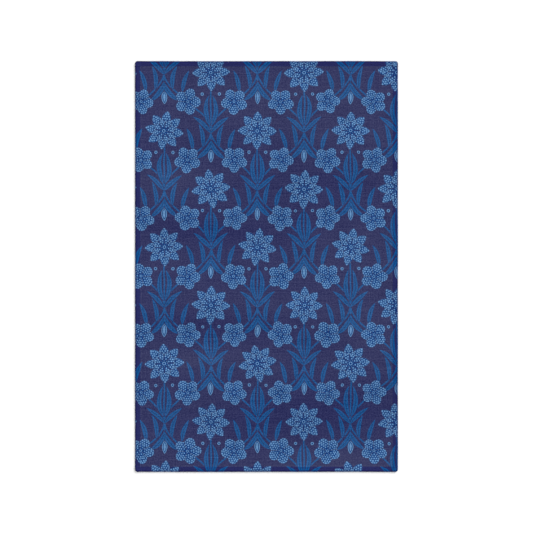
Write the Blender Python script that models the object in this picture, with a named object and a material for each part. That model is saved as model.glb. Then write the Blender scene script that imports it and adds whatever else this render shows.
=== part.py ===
"""A tea towel lying flat: one piece of cloth with its four edges turned under twice and sewn down.

Metres, +Z up. The towel lies on Z = 0 with its width along X and its length along Y, and the origin
is at the middle of its underside.
"""

import math

import bmesh
import bpy

# The finished towel, seen from above
WIDTH = 0.4064
LENGTH = 0.635
CORNER_RADIUS = 0.004

# Heights: the single cloth, the hem's three layers, and a corner where two hems lap
CLOTH_HEIGHT = 0.0010
HEM_HEIGHT = 0.0024
LAP_HEIGHT = 0.0030

# The hem's outer fold is half an ellipse, this deep and this high
FOLD_DEPTH = 0.0010
FOLD_HEIGHT = 0.0022
FOLD_STEPS = 6

# The hem's section on each side of its outer fold: one row for each bend
HEM_WIDTH = 0.0080
HEM_UNDERSIDE = (
    # inset from the edge, height
    (0.0086, 0.0004),  # groove beside the turned layers
    (HEM_WIDTH, 0.0),  # edge of the turned layers
)
HEM_TOP = (
    # inset from the edge, height
    (0.0034, HEM_HEIGHT),  # low ridge over the inner turn
    (0.0060, 0.0021),  # drawn down by the stitches
    (0.0076, 0.0019),  # edge of the turned layers
)

# The field starts this far in, above and below
FIELD_INSET = 0.0092

# A lap is as wide as the hem, and slopes down to it over a short way
LAP_SLOPE = 0.0014

# Points of each outline: steps round a corner, and the least radius and spacing that they keep
CORNER_STEPS = 4
LEAST_RADIUS = 0.0006
LEAST_STEP = 0.0004

CLOTH_COLOUR = (0.030, 0.045, 0.130, 1.0)
CLOTH_ROUGHNESS = 0.9

# The four corners, anticlockwise: signs of X and Y, and the angle at which the corner's arc starts
CORNERS = ((1, 1, 0), (-1, 1, 90), (-1, -1, 180), (1, -1, 270))


def clear_scene():
    for thing in list(bpy.data.objects):
        bpy.data.objects.remove(thing)


def corner_points(inset, sign_x, sign_y, start):
    """One corner of an outline: its arc, with two points on each side where a lap slopes down."""
    half_x = WIDTH / 2 - inset
    half_y = LENGTH / 2 - inset
    radius = max(CORNER_RADIUS - inset, LEAST_RADIUS)
    centre_x = sign_x * (half_x - radius)
    centre_y = sign_y * (half_y - radius)
    arc = []
    for step in range(CORNER_STEPS + 1):
        turn = math.radians(start + 90 * step / CORNER_STEPS)
        arc.append((centre_x + radius * math.cos(turn), centre_y + radius * math.sin(turn)))
    on_long_side, on_short_side = [], []
    for number, distance in enumerate((HEM_WIDTH, HEM_WIDTH + LAP_SLOPE), start=1):
        back = max(distance - inset - radius, number * LEAST_STEP)
        on_long_side.append((sign_x * half_x, centre_y - sign_y * back))
        on_short_side.append((centre_x - sign_x * back, sign_y * half_y))
    if sign_x == sign_y:
        return on_long_side[::-1] + arc + on_short_side
    return on_short_side[::-1] + arc + on_long_side


def lap_scale(x, y):
    """How many times higher the hem is at this point: more than once only where two hems lap."""
    inner = max(WIDTH / 2 - abs(x), LENGTH / 2 - abs(y))
    share = min(max((HEM_WIDTH + LAP_SLOPE - inner) / LAP_SLOPE, 0.0), 1.0)
    return 1.0 + share * (LAP_HEIGHT / HEM_HEIGHT - 1.0)


def hem_section():
    """The inset and height of each outline, from the underside round the outer fold to the top."""
    fold = []
    for step in range(FOLD_STEPS + 1):
        turn = math.pi * (step / FOLD_STEPS - 0.5)
        inset = FOLD_DEPTH * (1 - math.cos(turn))
        fold.append((inset, FOLD_HEIGHT / 2 * (1 + math.sin(turn))))
    return [*HEM_UNDERSIDE, *fold, *HEM_TOP]


def add_ring(shape, inset, height):
    """The outline's vertices at this height, as one list for each corner."""
    ring = []
    for corner in CORNERS:
        points = corner_points(inset, *corner)
        ring.append([shape.verts.new((x, y, height * lap_scale(x, y))) for x, y in points])
    return ring


def join_rings(shape, lower, upper):
    lower, upper = sum(lower, []), sum(upper, [])
    for here in range(len(lower)):
        there = (here + 1) % len(lower)
        shape.faces.new((lower[here], lower[there], upper[there], upper[here]))


def add_field(shape, ring, height, faces_up):
    """Fills a ring with the field's rectangle, and the slope that runs from the ring to it."""
    field = []
    for sign_x, sign_y, _ in CORNERS:
        x = sign_x * (WIDTH / 2 - FIELD_INSET)
        y = sign_y * (LENGTH / 2 - FIELD_INSET)
        field.append(shape.verts.new((x, y, height)))
    faces = [field]
    for number, corner in enumerate(ring):
        following = (number + 1) % len(ring)
        for here, there in zip(corner, corner[1:]):
            faces.append([here, there, field[number]])
        faces.append([corner[-1], ring[following][0], field[following], field[number]])
    for face in faces:
        shape.faces.new(face if faces_up else face[::-1])


def build_towel():
    shape = bmesh.new()
    rings = [add_ring(shape, inset, height) for inset, height in hem_section()]
    for lower, upper in zip(rings, rings[1:]):
        join_rings(shape, lower, upper)
    add_field(shape, rings[0], 0.0, faces_up=False)
    add_field(shape, rings[-1], CLOTH_HEIGHT, faces_up=True)
    mesh = bpy.data.meshes.new("towel")
    shape.to_mesh(mesh)
    shape.free()
    mesh.shade_smooth()
    mesh.set_sharp_from_angle(angle=math.radians(40))
    towel = bpy.data.objects.new("towel", mesh)
    bpy.context.scene.collection.objects.link(towel)
    return towel


def cloth_material():
    material = bpy.data.materials.new("printed cloth")
    material.use_nodes = True
    surface = material.node_tree.nodes["Principled BSDF"]
    surface.inputs["Base Color"].default_value = CLOTH_COLOUR
    surface.inputs["Roughness"].default_value = CLOTH_ROUGHNESS
    surface.inputs["Metallic"].default_value = 0.0
    return material


clear_scene()
build_towel().data.materials.append(cloth_material())
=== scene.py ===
"""The looks of a printed tea towel lying flat: its cloth and print, its hem's stitching, and a studio."""

import math
import random

import bpy
import numpy as np
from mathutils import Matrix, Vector, noise


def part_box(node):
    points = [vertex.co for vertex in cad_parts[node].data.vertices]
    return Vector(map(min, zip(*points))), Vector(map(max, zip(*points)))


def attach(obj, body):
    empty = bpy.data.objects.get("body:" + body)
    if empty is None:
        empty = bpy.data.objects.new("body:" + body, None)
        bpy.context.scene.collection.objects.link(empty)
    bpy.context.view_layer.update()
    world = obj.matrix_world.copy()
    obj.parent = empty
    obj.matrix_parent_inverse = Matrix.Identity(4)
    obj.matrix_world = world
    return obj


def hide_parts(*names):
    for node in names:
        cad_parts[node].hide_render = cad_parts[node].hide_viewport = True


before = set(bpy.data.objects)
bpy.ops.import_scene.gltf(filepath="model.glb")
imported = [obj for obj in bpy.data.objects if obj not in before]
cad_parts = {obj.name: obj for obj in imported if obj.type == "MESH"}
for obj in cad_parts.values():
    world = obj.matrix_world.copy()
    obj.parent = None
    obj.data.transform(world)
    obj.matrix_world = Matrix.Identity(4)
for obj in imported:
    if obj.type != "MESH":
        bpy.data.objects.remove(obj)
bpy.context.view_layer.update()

# The cloth
# One length of plain-weave cotton, printed on its face and laid on its bare back. Its four edges
# are turned under twice, pressed and sewn, so the hem stands up as a narrow band of three layers,
# and a little higher in the corners, where two hems lap.

low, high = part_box("towel")
WIDTH = high.x - low.x
LENGTH = high.y - low.y
CORNER_RADIUS = 0.004
FIELD_HEIGHT = 0.0012
HEM_HEIGHT = 0.0024
LAP_HEIGHT = high.z
LAP_SLOPE = 0.0014
MM = 1000  # in a metre

# The hem's upper side, from the fold round its edge inwards
HEM_WIDTH = 0.0080
FIELD_INSET = 0.0106
FOLD_DEPTH = 0.0010
FOLD_LENGTH = math.pi / 2 * (FOLD_DEPTH + HEM_HEIGHT / 2)
FOLD_STEPS = 8
STITCH_INSET = 0.0060
HEM_TOP = (
    # inset from the edge, height
    (FOLD_DEPTH, 0.00226),
    (0.0032, HEM_HEIGHT),  # low ridge over the inner turn
    (0.0052, 0.00224),
    (STITCH_INSET, 0.00206),  # drawn down by the stitches
    (0.0066, 0.00212),
    (FIELD_INSET, 0.00164),  # coming down past the turned layers
    (0.0360, FIELD_HEIGHT),  # lying flat again
)

# The underside lies on the surface, but for a groove at the stitches and one inside the turned layers
BACK_INSET = 0.0086
UNDER_GROOVES = (
    # inset of the middle, half width, depth
    (STITCH_INSET, 0.0005, 0.00036),
    (BACK_INSET, 0.0006, 0.00040),
)

# Spacing of the mesh's lines over the hem and over the field
HEM_STEP = 0.0005
FIELD_STEP = 0.0031

# Soft ridges and troughs that folding has left across the cloth. Below 0, a rise is a trough.
SOFT_FOLDS = (
    # middle across, middle up, half length, half width, slant in degrees, rise
    (0.000, 0.262, 0.210, 0.042, 2, 0.9),
    (0.140, 0.206, 0.070, 0.022, -4, 0.9),
    (-0.060, 0.186, 0.100, 0.012, 2, -0.4),
    (-0.150, 0.134, 0.060, 0.026, 0, 1.2),
    (0.090, 0.134, 0.110, 0.024, -6, -0.9),
    (0.060, 0.086, 0.100, 0.036, -8, -0.7),
    (-0.095, 0.055, 0.120, 0.020, -4, -1.4),
    (0.150, 0.010, 0.080, 0.070, 0, 0.7),
    (-0.160, -0.010, 0.060, 0.026, 0, 0.6),
    (0.040, -0.060, 0.160, 0.014, -6, 0.5),
    (-0.085, -0.093, 0.120, 0.018, -3, -1.3),
    (0.090, -0.120, 0.050, 0.012, -4, -0.7),
    (-0.110, -0.145, 0.090, 0.016, 0, 1.2),
    (0.160, -0.110, 0.050, 0.040, 0, 0.8),
    (0.070, -0.226, 0.170, 0.038, 6, -1.6),
    (0.110, -0.300, 0.110, 0.018, 0, 1.3),
    (-0.160, -0.280, 0.070, 0.030, 0, 0.5),
)
SOFT_RISE = 0.00025

# How unevenly the cloth lies: each row is the size of a wave and how far it moves the cloth. The
# edges' waves fade inwards, and the field's waves and soft folds start past the hem.
FIELD_WAVES = ((0.075, 0.00010), (0.028, 0.00006))
EDGE_WAVES = ((0.090, 0.00030), (0.021, 0.00010))
PUCKERS = ((0.0160, 0.00013), (0.0085, 0.00006))
PUCKER_SEED, FIELD_SEED, SIDE_SEED, END_SEED = 1.3, 2.3, 3.3, 4.3
FIELD_SETTLES = 0.020
EDGE_SETTLES = 0.012

# The share of the cloth's map that the printed face takes. The back takes the rest.
FACE_SHARE = 0.72


def waves(x, y, rows, seed):
    """The sum of smooth random waves at each point."""
    total = np.zeros(x.shape)
    for size, height in rows:
        found = [noise.noise((px / size, py / size, seed)) for px, py in zip(x.ravel(), y.ravel())]
        total += height * np.array(found).reshape(x.shape)
    return total


def soft_folds(x, y):
    """How much the soft ridges and troughs raise each point, where 1 is a usual ridge."""
    total = np.zeros(x.shape)
    for across, up, half_length, half_width, slant, rise in SOFT_FOLDS:
        turn = math.radians(slant)
        along = (x - across) * math.cos(turn) + (y - up) * math.sin(turn)
        beside = (y - up) * math.cos(turn) - (x - across) * math.sin(turn)
        total += rise * np.exp(-((along / half_length) ** 2) - (beside / half_width) ** 2)
    return total


def smooth(share):
    """Eases a share that runs from 0 to 1, so that it starts and ends level."""
    return share * share * (3 - 2 * share)


def eased(distance, rows):
    """The height at each distance from the edge, running smoothly from row to row."""
    places, heights = (np.array(column) for column in zip(*rows))
    at = np.clip(distance, places[0], places[-1])
    row = np.clip(np.searchsorted(places, at, side="right") - 1, 0, len(places) - 2)
    share = (at - places[row]) / (places[row + 1] - places[row])
    return heights[row] + smooth(share) * (heights[row + 1] - heights[row])


def past_arcs(x, y):
    """How far each point is past the middles of the corners' arcs, and whether it is in an arc."""
    past_x = np.abs(x) - (WIDTH / 2 - CORNER_RADIUS)
    past_y = np.abs(y) - (LENGTH / 2 - CORNER_RADIUS)
    return past_x, past_y, (past_x > 0) & (past_y > 0)


def from_edge(x, y):
    """How far in from the towel's edge each point is, and which way is straight out."""
    past_x, past_y, in_arc = past_arcs(x, y)
    away = np.where(in_arc, np.hypot(past_x, past_y), np.maximum(past_x, past_y))
    radius = np.where(in_arc, away, 1.0)
    out_x = np.where(in_arc, past_x / radius, past_x >= past_y)
    out_y = np.where(in_arc, past_y / radius, past_x < past_y)
    return CORNER_RADIUS - away, np.stack([np.sign(x) * out_x, np.sign(y) * out_y], -1)


def upper_side(x, y):
    """The height of the cloth's upper side at each point."""
    inset, _ = from_edge(x, y)
    # Two hems lap where a point is within a hem's width of both edges of its corner
    farther = np.maximum(WIDTH / 2 - np.abs(x), LENGTH / 2 - np.abs(y))
    lap = np.clip((HEM_WIDTH + LAP_SLOPE - farther) / LAP_SLOPE, 0, 1)
    on_hem = np.clip((FIELD_INSET - inset) / HEM_WIDTH, 0, 1)
    in_field = np.clip((inset - FIELD_INSET) / FIELD_SETTLES, 0, 1)
    height = eased(inset, HEM_TOP) * (1 + lap * (LAP_HEIGHT / HEM_HEIGHT - 1))
    height = height + waves(x, y, PUCKERS, PUCKER_SEED) * on_hem
    field = waves(x, y, FIELD_WAVES, FIELD_SEED) + soft_folds(x, y) * SOFT_RISE
    return np.minimum(height + field * in_field, LAP_HEIGHT)


def under_side(inset):
    """The height of the cloth's underside at each distance from the edge."""
    height = np.zeros(inset.shape)
    for middle, half_width, depth in UNDER_GROOVES:
        height += depth * smooth(np.clip(1 - np.abs(inset - middle) / half_width, 0, 1))
    return height


def cloth_lines(size):
    """Places of the mesh's lines across the cloth: close over each hem and wide over the field."""
    hem = np.arange(FOLD_DEPTH, FIELD_INSET + HEM_STEP, HEM_STEP) - size / 2
    reach = -hem[-1] - HEM_STEP
    field = np.linspace(-reach, reach, round(2 * reach / FIELD_STEP) + 1)
    return np.concatenate([hem, field, -hem[::-1]])


def cloth_grid():
    """The flat place of each point of the mesh, with arcs round the corners."""
    x, y = np.meshgrid(cloth_lines(WIDTH), cloth_lines(LENGTH), indexing="ij")
    past_x, past_y, in_arc = past_arcs(x, y)
    drawn_in = np.where(in_arc, 1 - np.maximum(past_x, past_y) / np.hypot(past_x, past_y), 0.0)
    return x - np.sign(x) * past_x * drawn_in, y - np.sign(y) * past_y * drawn_in


def cloth_sides():
    """The points of the upper side and of the underside, each one's inset, and which way is out."""
    x, y = cloth_grid()
    inset, out = from_edge(x, y)
    # The edges aren't quite straight
    fade = np.exp(-inset / EDGE_SETTLES)
    flat_x = x + waves(0 * x, y, EDGE_WAVES, SIDE_SEED) * fade * np.abs(out[..., 0])
    flat_y = y + waves(x, 0 * y, EDGE_WAVES, END_SEED) * fade * np.abs(out[..., 1])
    upper = np.stack([flat_x, flat_y, upper_side(x, y)], -1)
    under = np.stack([flat_x, flat_y, under_side(inset)], -1)
    return upper.reshape(-1, 3), under.reshape(-1, 3), inset, out.reshape(-1, 2)


def fold_rings(rim, out):
    """Rings of points round the fold, from under the upper side's rim down to the underside's."""
    for step in range(1, FOLD_STEPS):
        turn = math.pi * (0.5 - step / FOLD_STEPS)
        ring = rim.copy()
        ring[:, :2] += out * FOLD_DEPTH * math.cos(turn)
        ring[:, 2] *= (1 + math.sin(turn)) / 2
        yield ring


def opened_out(flat, inset, out, rim):
    """Where the points of the upper side, the underside and the fold lie when the hem is opened out."""
    under = flat + out * (FOLD_LENGTH + 2 * (inset.reshape(-1, 1) - FOLD_DEPTH))
    fold = [flat[rim] + out[rim] * FOLD_LENGTH * step / FOLD_STEPS for step in range(1, FOLD_STEPS)]
    return np.concatenate([flat, under, *fold])


def rim_of(grid):
    """The grid's outermost points, in order round the cloth."""
    return np.concatenate([grid[:-1, 0], grid[-1, :-1], grid[:0:-1, -1], grid[0, :0:-1]])


def faces_between(*corners):
    """Four-sided faces from the numbers of their corners, each given as an array."""
    return np.stack([np.ravel(corner) for corner in corners], 1)


def cloth_faces(numbers, rim):
    """The faces of the upper side, of the fold and of the underside."""
    corners = (numbers[:-1, :-1], numbers[1:, :-1], numbers[1:, 1:], numbers[:-1, 1:])
    fold_numbers = 2 * numbers.size + np.arange((FOLD_STEPS - 1) * len(rim))
    rings = [rim, *fold_numbers.reshape(-1, len(rim)), rim + numbers.size]
    fold = [
        faces_between(above, below, np.roll(below, -1), np.roll(above, -1))
        for above, below in zip(rings, rings[1:])
    ]
    return faces_between(*corners), np.concatenate(fold), faces_between(*corners[::-1]) + numbers.size


def keep_values(mesh, points, inset, place):
    """Keeps what the materials read, with lengths in mm: each point's inset, how much the soft folds
    raise it, and its place on the opened cloth."""
    insets = np.zeros(len(points), np.float32)
    insets[: 2 * inset.size] = np.tile(inset.ravel() * MM, 2)
    mesh.attributes.new("inset", "FLOAT", "POINT").data.foreach_set("value", insets)
    rises = soft_folds(points[:, 0], points[:, 1]).astype(np.float32)
    mesh.attributes.new("rise", "FLOAT", "POINT").data.foreach_set("value", rises)
    place_mm = np.concatenate([place * MM, np.zeros((*place.shape[:2], 1))], -1).astype(np.float32)
    kept_place = mesh.attributes.new("cloth_place", "FLOAT_VECTOR", "CORNER")
    kept_place.data.foreach_set("vector", place_mm.ravel())


def map_cloth(mesh, place, on_back):
    """The cloth's map: the printed face on the left, and the back, drawn in sideways, on the right."""
    size = np.array([WIDTH, LENGTH]) + 2 * (FOLD_LENGTH + 2 * BACK_INSET)
    share = place / size + 0.5
    on_left = share[..., 0] * FACE_SHARE
    on_right = FACE_SHARE + share[..., 0] * (1 - FACE_SHARE)
    share[..., 0] = np.where(on_back[:, None], on_right, on_left)
    mesh.uv_layers.new(name="OFBake").uv.foreach_set("vector", share.astype(np.float32).ravel())


def put_in_scene(name, data):
    """A new object in the scene, from its mesh, its lamp or its camera."""
    placed = bpy.data.objects.new(name, data)
    bpy.context.scene.collection.objects.link(placed)
    return placed


def make_cloth():
    """The closed sheet: its upper side, the fold round its edge and its underside."""
    upper, under, inset, out = cloth_sides()
    numbers = np.arange(inset.size).reshape(inset.shape)
    rim = rim_of(numbers)
    points = np.concatenate([upper, under, *fold_rings(upper[rim], out[rim])])
    opened = opened_out(upper[:, :2], inset, out, rim)
    upper_faces, fold_faces, under_faces = cloth_faces(numbers, rim)
    faces = np.concatenate([upper_faces, fold_faces, under_faces])
    on_back = np.zeros(len(faces), bool)
    on_back[-len(under_faces):] = inset.ravel()[under_faces - inset.size].mean(1) > BACK_INSET

    mesh = bpy.data.meshes.new("towel_cloth")
    mesh.from_pydata(points.tolist(), [], faces.tolist())
    mesh.polygons.foreach_set("material_index", on_back.astype(np.int32))
    mesh.shade_smooth()
    place = np.where(on_back[:, None, None], points[faces][..., :2], opened[faces])
    keep_values(mesh, points, inset, place)
    map_cloth(mesh, place, on_back)
    return put_in_scene("towel_cloth", mesh)


class Number:
    """A number that the nodes work out at each point of a surface. A sum with it adds a node."""

    def __init__(self, socket):
        self.socket = socket

    def step(self, operation, *others, clamp=False):
        """Adds a node that works on this number, and on the others where it takes more than one."""
        tree = self.socket.id_data
        node = tree.nodes.new("ShaderNodeMath")
        node.operation = operation
        node.use_clamp = clamp
        for place, value in zip(node.inputs, (self, *others)):
            if isinstance(value, Number):
                tree.links.new(value.socket, place)
            else:
                place.default_value = value
        return Number(node.outputs[0])

    def __add__(self, other):
        return self.step("ADD", other)

    def __sub__(self, other):
        return self.step("SUBTRACT", other)

    def __mul__(self, other):
        return self.step("MULTIPLY", other)

    def __pow__(self, other):
        return self.step("POWER", other)

    def __neg__(self):
        return self.step("MULTIPLY", -1.0)

    def __abs__(self):
        return self.step("ABSOLUTE")

    def less(self, other):
        """The smaller of the two, which is how far inside both of two shapes a point is."""
        return self.step("MINIMUM", other)

    def more(self, other):
        """The larger of the two, which is how far inside either of two shapes a point is."""
        return self.step("MAXIMUM", other)

    def share(self, start, end):
        """0 at the start, 1 at the end, and even between them."""
        return self.step("MULTIPLY_ADD", 1 / (end - start), -start / (end - start), clamp=True)


def length_of(x, y):
    """The length of a line that runs this far across and up."""
    return (x * x + y * y).step("SQRT")


def at_place(x, y, kind):
    """A random texture's node, which reads a flat place."""
    tree = x.socket.id_data
    place = tree.nodes.new("ShaderNodeCombineXYZ")
    tree.links.new(x.socket, place.inputs["X"])
    tree.links.new(y.socket, place.inputs["Y"])
    node = tree.nodes.new(kind)
    node.noise_dimensions = "2D"
    tree.links.new(place.outputs[0], node.inputs["Vector"])
    return node


def smooth_noise(x, y, size_x, size_y, detail=1.0):
    """A smooth random number, mostly from 0.25 to 0.75, in patches of this size."""
    node = at_place(x * (1 / size_x), y * (1 / size_y), "ShaderNodeTexNoise")
    node.inputs["Scale"].default_value = 1.0
    node.inputs["Detail"].default_value = detail
    return Number(node.outputs["Fac"])


def two_chances(column, row):
    """Two random numbers from 0 to 1 for each column and row."""
    node = at_place(column, row, "ShaderNodeTexWhiteNoise")
    parts = node.id_data.nodes.new("ShaderNodeSeparateColor")
    node.id_data.links.new(node.outputs["Color"], parts.inputs[0])
    return Number(parts.outputs[0]), Number(parts.outputs[1])


def ink(red, green, blue):
    """A colour on the scale of 0 to 255, in the even steps of light that a shader takes."""
    parts = []
    # The sRGB standard's curve: a straight line for the darkest tones, then a power
    for part in (red / 255, green / 255, blue / 255):
        parts.append(part / 12.92 if part <= 0.04045 else ((part + 0.055) / 1.055) ** 2.4)
    return (*parts, 1.0)


# A Mix node's sockets for colours: the one under, the one over, and the two mixed
UNDER_SOCKET, OVER_SOCKET, MIXED_SOCKET = 6, 7, 2


def layer(under, over, amount):
    """Lays one colour over another."""
    tree = amount.socket.id_data
    mix = tree.nodes.new("ShaderNodeMix")
    mix.data_type = "RGBA"
    tree.links.new(amount.socket, mix.inputs["Factor"])
    for socket, colour in ((UNDER_SOCKET, under), (OVER_SOCKET, over)):
        if isinstance(colour, tuple):
            mix.inputs[socket].default_value = colour
        else:
            tree.links.new(colour, mix.inputs[socket])
    return mix.outputs[MIXED_SOCKET]


# The print, in mm. An ogee trellis of paired stems: they part and meet again at each joint, a rosette
# on a stalk fills each cell, and a blossom sits on the middle of each stem. One half cell is drawn,
# and the rest are its mirror images. Half cells start at a rosette's middle, or at a joint.
HALF_X = 72.0
HALF_Y = 90.0
PRINT_START = (14.0, -30.0)
WOBBLE_SIZE = 38.0
WOBBLE = 3.0
INK_BLEED = 0.42
GAP = 0.9
STEM_HALF_WIDTH = 1.2

# Leaves are arcs. Angles are in degrees, and a turn is to the left where it is above 0.
LEAVES_ABOVE = (
    # base across, base up from the line of joints below, heading, turn, length, half width
    (71.0, 8.0, 120.0, -56.0, 49.0, 3.5),  # round the rosette's stalk
    (21.0, 47.0, 150.0, -48.0, 40.0, 3.6),  # under the next joint
)
LEAVES_BESIDE = (
    # the same, but up or down from the nearest line of joints
    (59.0, -25.5, 80.0, 40.0, 37.0, 3.3),
    (44.0, -30.0, 92.0, 30.0, 35.0, 3.4),
    (71.9, -3.0, 126.0, 24.0, 37.0, 3.3),
)
LEAF_FORM = (0.72, 0.92)
VEIN_HALF_WIDTH = 0.45
VEIN_START, VEIN_END = 0.10, 0.80
BERRY_PLACE = (59.0, 56.5)
BERRY_RADIUS = 2.4
BUD = {"top": 60.0, "length": 19.0, "half_width": 4.2, "form": (0.6, 0.8)}
BUD_STALK_HALF_WIDTH = 0.9
BUD_RIM = 1.2

# Rings of petals. The form is how fast a petal widens from its base and narrows to its tip.
ROSETTE_OUTER = {"count": 8, "start": 4.0, "length": 25.5, "half_width": 6.8, "form": (0.95, 0.85)}
ROSETTE_INNER = {"count": 8, "start": 2.5, "length": 15.5, "half_width": 4.4, "form": (0.9, 0.8)}
BLOSSOM = {"count": 5, "start": 1.0, "length": 19.5, "half_width": 7.8, "form": (0.8, 0.66)}

# One of a blossom's petals points down. Chance then turns each flower a little, by up to half of
# these radians either way, and makes it larger or smaller by up to half of this share.
BLOSSOM_HEADING = -math.pi / 2
ROSETTE_TURN = 0.4
BLOSSOM_TURN = 0.8
FLOWER_GROWTH = 0.06

# A flower's eye is a disc with a pale ring on it, and the ring's sizes are shares of the disc's radius
ROSETTE_EYE = 4.2
BLOSSOM_EYE = 3.2
EYE_RING_RADIUS, EYE_RING_HALF_WIDTH = 0.5, 0.125

# Pale dots in staggered, slightly uneven rows across each petal. They grow until they touch at its tip.
DOT_SPACING = 3.6
DOT_ROWS = 3.2
DOT_SCATTER = 0.7
DOT_AT_BASE = 0.95
DOT_AT_TIP = 1.5
PETAL_SEED = 20.0

GROUND = ink(34, 37, 85)
LEAF = ink(6, 74, 132)
VEIN = ink(16, 46, 96)
PETAL_SHADE = ink(2, 47, 106)
PETAL = ink(90, 131, 173)
PETAL_PALE = ink(98, 139, 180)

# The flat field shows some of the cloth's pale yarn through the print, unevenly along the slubs, and
# the hem shows none. The step down from the hem is painted paler, as painted light that eases the shade
# on its slope. The soft folds get painted light on their ridges and painted shade in their troughs.
# A painted shade darkens the hem's outer edge, where the cloth turns down round the fold. Each pair of
# insets, in mm, is where one of these starts and where it is full.
PALE_YARN_AND_LIGHT = ink(140, 142, 104)
YARN_SHOWS = 0.045
STEP_PAINTED_LIGHT = 0.012
SLUBS_SHOW = 3.75
FOLD_PAINTED_HAZE = 0.36
EDGE_PAINTED_SHADE = ink(0, 4, 66)
EDGE_SHADE_AMOUNT = 0.48
HEM_MM = HEM_WIDTH * MM
EDGE_FROM, EDGE_FULL = 3.2, 1.9
FIELD_FROM, FIELD_FULL = HEM_MM - 0.4, HEM_MM + 0.6
STEP_FROM, STEP_FULL = HEM_MM + 3.0, HEM_MM + 1.5

# The weave, in mm, and how much its yarns change the tone. The weave's own part of the tone is painted
# shade, darker between the yarns and lighter on their tops.
YARN_SPACING = 1.0
SLUB_WIDTH = 1.7
SLUB_LENGTH = 34.0
NUB_LENGTH, NUB_WIDTH = 2.0, 1.7
WARP_WEIGHT, WEFT_WEIGHT, NUB_WEIGHT = 0.15, 0.25, 0.6
BLOTCH_SIZE = 70.0
BLOTCH_DETAIL = 2.0
# The folds' tone is painted light on the soft ridges and painted shade in the troughs
SLUB_TONE, WEAVE_PAINTED_SHADE, BLOTCH_TONE, FOLD_PAINTED_SHADING = 1.5, 0.4, 0.12, 0.06
YARN_ROUGHNESS = (0.95, 0.82)  # between the yarns, and on top of them
CLOTH_SHINE = 0.06
BACK_TONE = 0.45  # the share of those changes that the bare back shows
BACK, BACK_BLOTCH = ink(206, 208, 220), ink(188, 192, 210)
SLUB_RELIEF = 0.8
WEAVE_DEPTH = 0.00018  # in metres, as the relief takes it
WEAVE_STRENGTH = 0.6


def covered(inside):
    """How much ink a point takes, from how far it is inside a shape."""
    return inside.share(-INK_BLEED / 2, INK_BLEED / 2)


def inside_blade(along, across, length, half_width, form):
    """How far inside a leaf or petal a point is, and its share of the way to the tip."""
    rise, fall = form
    widest = rise / (rise + fall)
    most = widest**rise * (1 - widest) ** fall
    share = along.share(0.0, length)
    width = share**rise * (-share + 1.0) ** fall * (half_width / most)
    beyond = abs(along - share * length)
    return width - abs(across) - beyond, share


def inside_leaf(across, up, leaf):
    """How far inside a leaf a point is, and how far inside its vein."""
    base_across, base_up, heading, turn, length, half_width = leaf
    heading, turn = math.radians(heading), math.radians(turn)
    left = math.copysign(1.0, turn)
    radius = length / abs(turn)
    from_across = across - (base_across - left * radius * math.sin(heading))
    from_up = up - (base_up + left * radius * math.cos(heading))
    start = heading - left * math.pi / 2
    angle = (from_up.step("ARCTAN2", from_across) - start).step("WRAP", math.pi, -math.pi)
    side = length_of(from_across, from_up) - radius
    inside, share = inside_blade(angle * (left * radius), side, length, half_width, LEAF_FORM)
    vein = (-abs(side) + VEIN_HALF_WIDTH).less((share - VEIN_START) * length)
    return inside, vein.less((-share + VEIN_END) * length)


def inside_petals(radius, turned, ring, chance):
    """How far inside a ring of petals a point is, and how far inside one of its dots."""
    half = math.pi / ring["count"]
    angle = turned.step("WRAP", half, -half)
    along = radius * angle.step("COSINE") - ring["start"]
    across = radius * angle.step("SINE")
    inside, share = inside_blade(along, across, ring["length"], ring["half_width"], ring["form"])
    inside = inside.less(radius * (-abs(angle) + half).step("SINE") - GAP / 2)
    rows = along * (1 / DOT_ROWS)
    row = rows.step("FLOOR")
    columns = across * (1 / DOT_SPACING) + row.step("FLOORED_MODULO", 2.0) * 0.5
    column = columns.step("FLOOR")
    # Each petal scatters its dots in its own way
    petal = ((turned - angle) * (0.5 / half)).step("ROUND")
    shift_along, shift_across = two_chances(column + (petal + chance) * PETAL_SEED, row)
    from_row = (rows - row - 0.5) * DOT_ROWS + (shift_along - 0.5) * DOT_SCATTER
    from_column = (columns - column - 0.5) * DOT_SPACING + (shift_across - 0.5) * DOT_SCATTER
    dot = share * (DOT_AT_TIP - DOT_AT_BASE) + DOT_AT_BASE - length_of(from_row, from_column)
    return inside, dot.less(inside)


def row_places(x, y, rounding):
    """A point's row of half cells, its place along the row, and how far up it is from the row's start."""
    row = (y * (1 / HALF_Y)).step(rounding)
    return row, x + row.step("FLOORED_MODULO", 2.0) * HALF_X, y - row * HALF_Y


def inside_vine(x, y):
    """How far inside the stems and leaves a point is, and how far inside the leaves' veins."""
    _, shifted, above = row_places(x, y, "FLOOR")
    across = shifted.step("PINGPONG", HALF_X)
    turn = above * (math.pi / HALF_Y)
    stem = turn.step("COSINE") * (HALF_X / 2) + HALF_X / 2
    slope = turn.step("SINE") * (math.pi * HALF_X / HALF_Y / 2)
    steepness = (slope * slope + 1.0).step("INVERSE_SQRT")
    vine = -(abs(across - stem) * steepness) + STEM_HALF_WIDTH
    stalk = (across - (HALF_X - STEM_HALF_WIDTH)).less(-above + (HALF_Y - ROSETTE_OUTER["length"]))
    vine = vine.more(stalk).more((-across + BUD_STALK_HALF_WIDTH).less(above - BUD["top"]))
    _, shifted, beside = row_places(x, y, "ROUND")
    beside_across = shifted.step("PINGPONG", HALF_X)
    veins = None
    places = [(across, above, leaf) for leaf in LEAVES_ABOVE]
    places += [(beside_across, beside, leaf) for leaf in LEAVES_BESIDE]
    for place_across, place_up, numbers in places:
        leaf, vein = inside_leaf(place_across, place_up, numbers)
        # A leaf that crosses another lies over it, with a gap of bare ground round it
        vine = vine.less(-leaf - GAP).more(leaf)
        veins = vein if veins is None else veins.less(-leaf - GAP).more(vein)
    return vine, veins, across, above


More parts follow.
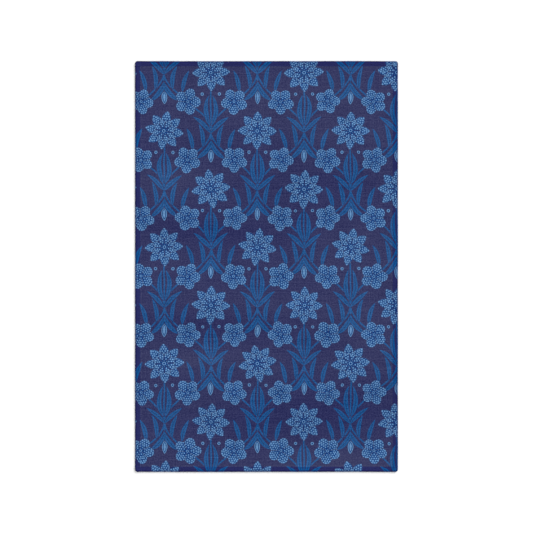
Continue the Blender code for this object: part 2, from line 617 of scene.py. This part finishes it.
def flower_place(across, up, column, row, most_turn):
    """A point's radius and angle in a flower, each flower a little turned and grown, and its chance."""
    chance, grown = two_chances(column, row)
    radius = length_of(across, up) * ((grown - 0.5) * FLOWER_GROWTH + 1.0)
    return radius, up.step("ARCTAN2", across) + (chance - 0.5) * most_turn, chance


def print_rosettes(x, y):
    """The rosettes' two rings of petals, each with its dots and their colour, and a point's radius."""
    row, shifted, up = row_places(x, y, "ROUND")
    column = (shifted * (0.5 / HALF_X)).step("ROUND")
    across = shifted.step("WRAP", HALF_X, -HALF_X)
    radius, angle, chance = flower_place(across, up, column, row, ROSETTE_TURN)
    outer, outer_dots = inside_petals(radius, angle, ROSETTE_OUTER, chance)
    between = math.pi / ROSETTE_INNER["count"]
    inner, inner_dots = inside_petals(radius, angle + between, ROSETTE_INNER, chance)
    outer = outer.less(-inner - GAP)
    return [(outer, outer_dots.less(outer), PETAL), (inner, inner_dots, PETAL_PALE)], radius


def print_blossoms(x, y):
    """The blossoms' one ring of petals, with its dots and their colour, and a point's radius."""
    column = (x * (1 / HALF_X)).step("FLOOR") + 0.5
    row = (y * (1 / HALF_Y)).step("FLOOR") + 0.5
    across, up = x - column * HALF_X, y - row * HALF_Y
    radius, angle, chance = flower_place(across, up, column, row, BLOSSOM_TURN)
    petals, dots = inside_petals(radius, angle - BLOSSOM_HEADING, BLOSSOM, chance)
    return [(petals, dots, PETAL)], radius


def print_colours(x, y, yarn_and_painted_light):
    """The whole print: the vine on its ground, with some bare yarn and painted light over them, and the
    flowers over those.
    """
    vine, veins, across, above = inside_vine(x, y)
    rosettes, rosette_radius = print_rosettes(x, y)
    blossoms, blossom_radius = print_blossoms(x, y)
    rings = rosettes + blossoms
    bud, _ = inside_blade(-above + BUD["top"], across, BUD["length"], BUD["half_width"], BUD["form"])
    berry = -length_of(across - BERRY_PLACE[0], above - BERRY_PLACE[1]) + BERRY_RADIUS
    for shape in (bud, *(petals for petals, _, _ in rings)):
        vine = vine.less(-shape - GAP)
    colour = layer(GROUND, LEAF, covered(vine))
    colour = layer(colour, VEIN, covered(veins.less(vine)))
    # Pale yarn over the ground and leaves, with painted light at the hem's step and on the soft folds'
    # ridges
    colour = layer(colour, PALE_YARN_AND_LIGHT, yarn_and_painted_light)
    for shape in (bud, berry):
        colour = layer(colour, PETAL, covered(shape))
        colour = layer(colour, PETAL_SHADE, covered(shape - BUD_RIM))
    colour = layer(colour, PETAL, covered(bud - 2 * BUD_RIM))
    for petals, dots, dot_colour in rings:
        colour = layer(colour, PETAL_SHADE, covered(petals))
        colour = layer(colour, dot_colour, covered(dots))
    for radius, eye in ((rosette_radius, ROSETTE_EYE), (blossom_radius, BLOSSOM_EYE)):
        colour = layer(colour, PETAL_SHADE, covered(-radius + eye))
        ring = -abs(radius - eye * EYE_RING_RADIUS) + eye * EYE_RING_HALF_WIDTH
        colour = layer(colour, PETAL_PALE, covered(ring))
    return colour


def weave(x, y):
    """The height of a plain weave, from 0 to 1: each yarn goes over one and under the next."""
    across, along = x * (1 / YARN_SPACING), y * (1 / YARN_SPACING)
    over = (across.step("FLOOR") + along.step("FLOOR")).step("FLOORED_MODULO", 2.0)
    hump_x = (across.step("FRACT") * math.pi).step("SINE")
    hump_y = (along.step("FRACT") * math.pi).step("SINE")
    warp = hump_x * (hump_y * 0.5 + 0.5)
    weft = hump_y * (hump_x * 0.5 + 0.5)
    return warp + over * (weft - warp)


def slubs(x, y):
    """How thick the yarns are at a point: in streaks along both ways of the weave, and in nubs."""
    warp = smooth_noise(x, y, SLUB_WIDTH, SLUB_LENGTH)
    weft = smooth_noise(x + 2 * SLUB_LENGTH, y, SLUB_LENGTH, SLUB_WIDTH)
    nubs = smooth_noise(x, y, NUB_LENGTH, NUB_WIDTH)
    return warp * WARP_WEIGHT + weft * WEFT_WEIGHT + nubs * NUB_WEIGHT


def cloth_value(tree, name):
    """A number that the cloth's mesh keeps for each point."""
    node = tree.nodes.new("ShaderNodeAttribute")
    node.attribute_name = name
    return Number(node.outputs["Fac"])


def printed_colour(x, y, yarns, inset, rise):
    """The print on the cloth, with the pale yarn that shows through it, painted light at the hem's step
    and on the soft folds, and a painted shade along its edge.
    """
    wobble_x = (smooth_noise(x, y, WOBBLE_SIZE, WOBBLE_SIZE) - 0.5) * WOBBLE
    wobble_y = (smooth_noise(y, x, WOBBLE_SIZE, WOBBLE_SIZE) - 0.5) * WOBBLE
    in_field = inset.share(FIELD_FROM, FIELD_FULL)
    on_step = in_field * inset.share(STEP_FROM, STEP_FULL)
    # Pale yarn shows in the field, and the step beside the hem gets painted light to ease the shade on
    # its slope
    yarn_and_light = in_field * YARN_SHOWS + on_step * STEP_PAINTED_LIGHT
    # The slubs make it uneven, and the soft folds add painted light on their ridges and painted shade in
    # their troughs
    yarn_and_light = yarn_and_light * ((yarns - 0.5) * SLUBS_SHOW + rise * FOLD_PAINTED_HAZE + 1.0)
    colour = print_colours(x + PRINT_START[0] + wobble_x, y + PRINT_START[1] + wobble_y, yarn_and_light)
    # A painted shade darkens the outer edge, where the cloth turns down round the fold
    return layer(colour, EDGE_PAINTED_SHADE, inset.share(EDGE_FROM, EDGE_FULL) * EDGE_SHADE_AMOUNT)


def new_finish(name, shine):
    """A material, its nodes and its surface."""
    material = bpy.data.materials.new(name)
    material.use_nodes = True
    surface = material.node_tree.nodes["Principled BSDF"]
    surface.inputs["Specular IOR Level"].default_value = shine
    return material, material.node_tree, surface


def add_relief(surface, height, depth, strength):
    """Gives the surface a fine relief of this depth in metres."""
    tree = surface.id_data
    bump = tree.nodes.new("ShaderNodeBump")
    bump.inputs["Strength"].default_value = strength
    bump.inputs["Distance"].default_value = depth
    tree.links.new(height.socket, bump.inputs["Height"])
    tree.links.new(bump.outputs[0], surface.inputs["Normal"])


def cloth_finish(name, printed):
    """The cloth's material: its print or its bare back, with the weave's tone and relief. Part of the
    tone is painted shade between the yarns, and on the face painted light and shade over the soft folds.
    """
    material, tree, surface = new_finish(name, CLOTH_SHINE)
    place = tree.nodes.new("ShaderNodeAttribute")
    place.attribute_name = "cloth_place"
    parts = tree.nodes.new("ShaderNodeSeparateXYZ")
    tree.links.new(place.outputs["Vector"], parts.inputs[0])
    x, y = Number(parts.outputs["X"]), Number(parts.outputs["Y"])
    yarns = slubs(x, y)
    relief = weave(x, y)
    blotch = smooth_noise(x, y, BLOTCH_SIZE, BLOTCH_SIZE, BLOTCH_DETAIL)
    # Slubs and blotches vary the tone at random, and the weave's part is painted shade, darker between
    # the yarns
    tone = (yarns - 0.5) * SLUB_TONE + (relief - 0.5) * WEAVE_PAINTED_SHADE + (blotch - 0.5) * BLOTCH_TONE
    if printed:
        rise = cloth_value(tree, "rise")
        colour = printed_colour(x, y, yarns, cloth_value(tree, "inset"), rise)
        # Painted light on the soft folds' ridges and painted shade in their troughs
        tone = tone + rise * FOLD_PAINTED_SHADING
    else:
        colour = layer(BACK, BACK_BLOTCH, blotch)
        tone = tone * BACK_TONE
    shade = tree.nodes.new("ShaderNodeVectorMath")
    shade.operation = "SCALE"
    tree.links.new(colour, shade.inputs[0])
    tree.links.new((tone + 1.0).socket, shade.inputs["Scale"])
    tree.links.new(shade.outputs[0], surface.inputs["Base Color"])
    rough = relief * (YARN_ROUGHNESS[1] - YARN_ROUGHNESS[0]) + YARN_ROUGHNESS[0]
    tree.links.new(rough.socket, surface.inputs["Roughness"])
    add_relief(surface, relief * ((yarns - 0.5) * SLUB_RELIEF + 1.0), WEAVE_DEPTH, WEAVE_STRENGTH)
    return material


cloth = make_cloth()
cloth.data.materials.append(cloth_finish("printed_face", True))
cloth.data.materials.append(cloth_finish("plain_back", False))
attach(cloth, "root")
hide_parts("towel")

# The hem's stitching
# One line of lockstitch in spun navy thread, sewn all round through the hem's three layers. Each
# stitch lies on the cloth and dips in at both ends, and the same line shows underneath.

STITCH_PITCH = 0.0032
STITCH_LENGTH = 0.0028
THREAD_RADIUS = 0.00018
THREAD_SIDES = 6
THREAD_PROUD = 0.00011
THREAD_SWELL = 1.05
STITCH_RINGS = (
    # share of the stitch's length, how far the thread dips in from its middle, share of its radius
    (0.00, 0.00041, 0.80),
    (0.14, 0.00005, 1.00),
    (0.50, 0.0, THREAD_SWELL),
    (0.86, 0.00005, 1.00),
    (1.00, 0.00041, 0.80),
)
STITCH_SWAY = 0.00008
STITCH_LEAN = 0.05
STITCH_SEED = 11
THREAD_INK = ink(34, 44, 94)
THREAD_TWIST = 0.0006
THREAD_PATCH = 0.012
TWIST_SHADE, PATCH_SHADE = 0.35, 0.3
THREAD_ROUGHNESS, THREAD_SHINE = 0.75, 0.25
TWIST_DEPTH = THREAD_RADIUS / 4
TWIST_STRENGTH = 0.5


def stitch_places():
    """The middle and the direction of each stitch, in order round the towel."""
    half_x, half_y = WIDTH / 2 - STITCH_INSET, LENGTH / 2 - STITCH_INSET
    turns = [Vector((x * half_x, y * half_y)) for x, y in ((-1, -1), (1, -1), (1, 1), (-1, 1))]
    for start, end in zip(turns, turns[1:] + turns[:1]):
        run = end - start
        count = round(run.length / STITCH_PITCH)
        for number in range(count):
            yield start + run * (number + 0.5) / count, run.normalized()


def stitch_points(middle, along, beside, level, way):
    """Rings of points along one stitch, whose ends dip down where the way is 1, and up where it is -1."""
    for share, dip, swell in STITCH_RINGS:
        centre = middle + along * (share - 0.5) * STITCH_LENGTH
        height = level - way * dip
        for side in range(THREAD_SIDES):
            turn = 2 * math.pi * side / THREAD_SIDES
            out = beside * math.cos(turn) * THREAD_RADIUS * swell
            yield *(centre + out), height + math.sin(turn) * THREAD_RADIUS * swell


def stitch_faces(first):
    """The faces round one stitch and over its two ends, from the number of its first point."""
    last = first + (len(STITCH_RINGS) - 1) * THREAD_SIDES
    for ring in range(first, last, THREAD_SIDES):
        for side in range(THREAD_SIDES):
            here, there = ring + side, ring + (side + 1) % THREAD_SIDES
            yield here, there, there + THREAD_SIDES, here + THREAD_SIDES
    yield tuple(range(first + THREAD_SIDES - 1, first - 1, -1))
    yield tuple(range(last, last + THREAD_SIDES))


def make_stitching():
    """Every stitch of the hem, on the upper side and underneath, in one mesh."""
    sway = random.Random(STITCH_SEED)
    points, faces = [], []
    for middle, along in stitch_places():
        beside = Vector((-along.y, along.x))
        middle = middle + beside * sway.uniform(-STITCH_SWAY, STITCH_SWAY)
        along = (along + beside * sway.uniform(-STITCH_LEAN, STITCH_LEAN)).normalized()
        top = float(upper_side(np.array([middle.x]), np.array([middle.y]))[0])
        # The underside's stitch is upside down, and its groove lets it lie level with the cloth
        for level, way in ((top + THREAD_PROUD, 1), (THREAD_RADIUS * THREAD_SWELL, -1)):
            faces.extend(stitch_faces(len(points)))
            points.extend(stitch_points(middle, along, beside, level, way))
    mesh = bpy.data.meshes.new("hem_stitching")
    mesh.from_pydata(points, [], faces)
    mesh.shade_smooth()
    return put_in_scene("hem_stitching", mesh)


def thread_finish():
    """Navy spun thread: its twist as fine slanting lines, and a slightly uneven tone."""
    material, tree, surface = new_finish("sewing_thread", THREAD_SHINE)
    surface.inputs["Roughness"].default_value = THREAD_ROUGHNESS
    where = tree.nodes.new("ShaderNodeTexCoord")
    parts = tree.nodes.new("ShaderNodeSeparateXYZ")
    tree.links.new(where.outputs["Object"], parts.inputs[0])
    x, y = Number(parts.outputs["X"]), Number(parts.outputs["Y"])
    twist = ((x + y) * (2 * math.pi / THREAD_TWIST)).step("SINE") * 0.5 + 0.5
    patch = smooth_noise(x, y, THREAD_PATCH, THREAD_PATCH)
    dark = layer(THREAD_INK, GROUND, twist * TWIST_SHADE + patch * PATCH_SHADE)
    tree.links.new(dark, surface.inputs["Base Color"])
    add_relief(surface, twist, TWIST_DEPTH, TWIST_STRENGTH)
    return material


stitching = make_stitching()
stitching.data.materials.append(thread_finish())
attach(stitching, "root")

# The floor
# A plain pale surface, matt and white, which the towel lies on. It is wide, so that its far edge
# shows only from very low down.

FLOOR_SIZE = 60.0
FLOOR_BELOW = 0.0001
FLOOR_COLOUR = (0.9, 0.9, 0.9, 1.0)
FLOOR_ROUGHNESS, FLOOR_SHINE = 0.9, 0.1
half = FLOOR_SIZE / 2
floor_mesh = bpy.data.meshes.new("floor")
floor_corners = [(-half, -half), (half, -half), (half, half), (-half, half)]
floor_mesh.from_pydata([(x, y, -FLOOR_BELOW) for x, y in floor_corners], [], [(0, 1, 2, 3)])
floor = put_in_scene("floor", floor_mesh)
floor_finish, _, floor_surface = new_finish("floor", FLOOR_SHINE)
floor_surface.inputs["Base Color"].default_value = FLOOR_COLOUR
floor_surface.inputs["Roughness"].default_value = FLOOR_ROUGHNESS
floor_mesh.materials.append(floor_finish)

# The light
# Even white light from all round, and one broad soft lamp, low on the right beyond the towel's far
# end, which leaves a thin shadow along the near edge and the left edge.

SKY_COLOUR = (1.0, 1.0, 1.0, 1.0)
SKY = 0.81
LAMP = 2.75
LAMP_SPREAD = 40
LAMP_PLACE = Vector((0.95, 1.10, 0.83))
world = bpy.data.worlds.new("studio")
bpy.context.scene.world = world
world.use_nodes = True
sky = world.node_tree.nodes["Background"]
sky.inputs["Color"].default_value = SKY_COLOUR
sky.inputs["Strength"].default_value = SKY
lamp_data = bpy.data.lights.new("lamp", "SUN")
lamp_data.energy = LAMP
lamp_data.angle = math.radians(LAMP_SPREAD)
lamp = put_in_scene("lamp", lamp_data)
lamp.rotation_euler = (-LAMP_PLACE).to_track_quat("-Z", "Y").to_euler()

# The camera
# Straight above the middle of the towel, looking down with a long lens, so that the towel is seen
# square on. The frame's width is what the lens takes in at the height of the hem.

FRAME_WIDTH = 0.8236
LENS = 100.0
camera_data = bpy.data.cameras.new("camera")
camera_data.lens = LENS
camera = put_in_scene("camera", camera_data)
camera.location = (0.0, 0.0, HEM_HEIGHT + FRAME_WIDTH * LENS / camera_data.sensor_width)
bpy.context.scene.camera = camera
bpy.context.scene.view_settings.view_transform = "Standard"
